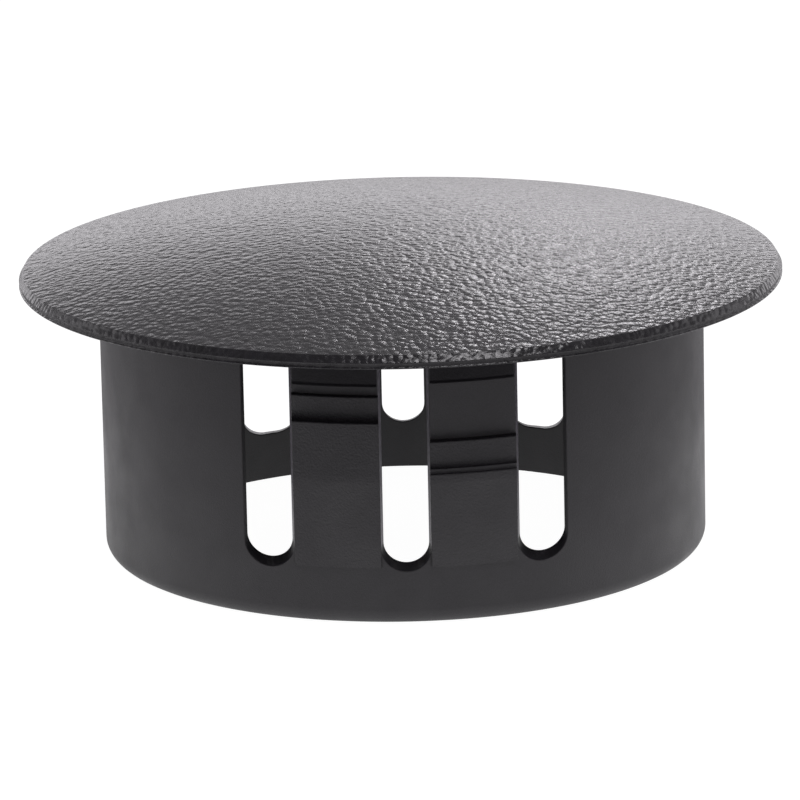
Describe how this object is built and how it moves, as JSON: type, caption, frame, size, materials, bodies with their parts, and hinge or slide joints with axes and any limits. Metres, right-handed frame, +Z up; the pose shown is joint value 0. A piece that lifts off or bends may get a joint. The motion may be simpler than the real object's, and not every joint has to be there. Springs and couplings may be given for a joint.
{
  "type": "snap-in desk hole plug",
  "caption": "Snap-in domed cover plug that closes a round hole in a desk or sheet panel, held by sprung latch fingers cut into its skirt.",
  "frame": {"origin": "centre of the skirt's open end, on the surface that the plug stands on", "axes": "+Z up through the dome, -Y through the middle slot of the front finger group, +X to the right seen from the front"},
  "size_m": [0.0314, 0.0314, 0.0135],
  "materials": {
    "cover_resin": "fine pebble moulded texture, semi-gloss",
    "skirt_resin": "satin, as moulded",
    "latch_resin": "eroded, satin"
  },
  "bodies": {
    "root": {"domed_cover": "cover_resin", "rim_flange": "cover_resin", "left_wall": "skirt_resin", "right_wall": "skirt_resin", "lead_in_ring": "skirt_resin"},
    "front_left_latch": {"front_left_finger": "latch_resin", "front_left_lug": "latch_resin"},
    "front_right_latch": {"front_right_finger": "latch_resin", "front_right_lug": "latch_resin"},
    "rear_left_latch": {"rear_left_finger": "latch_resin", "rear_left_lug": "latch_resin"},
    "rear_right_latch": {"rear_right_finger": "latch_resin", "rear_right_lug": "latch_resin"}
  },
  "joints": [
    {"name": "front_left_flex", "type": "hinge", "parent": "root", "child": "front_left_latch", "pos_m": [-0.00262, -0.01166, 0.00236], "axis": [-0.9758, 0.2189, 0], "range_deg": [0, 6], "stiffness_Nm_per_rad": 0.25},
    {"name": "front_right_flex", "type": "hinge", "parent": "root", "child": "front_right_latch", "pos_m": [0.00262, -0.01166, 0.00236], "axis": [-0.9758, -0.2189, 0], "range_deg": [0, 6], "stiffness_Nm_per_rad": 0.25},
    {"name": "rear_left_flex", "type": "hinge", "parent": "root", "child": "rear_left_latch", "pos_m": [-0.00262, 0.01166, 0.00236], "axis": [0.9758, 0.2189, 0], "range_deg": [0, 6], "stiffness_Nm_per_rad": 0.25},
    {"name": "rear_right_flex", "type": "hinge", "parent": "root", "child": "rear_right_latch", "pos_m": [0.00262, 0.01166, 0.00236], "axis": [0.9758, -0.2189, 0], "range_deg": [0, 6], "stiffness_Nm_per_rad": 0.25}
  ]
}
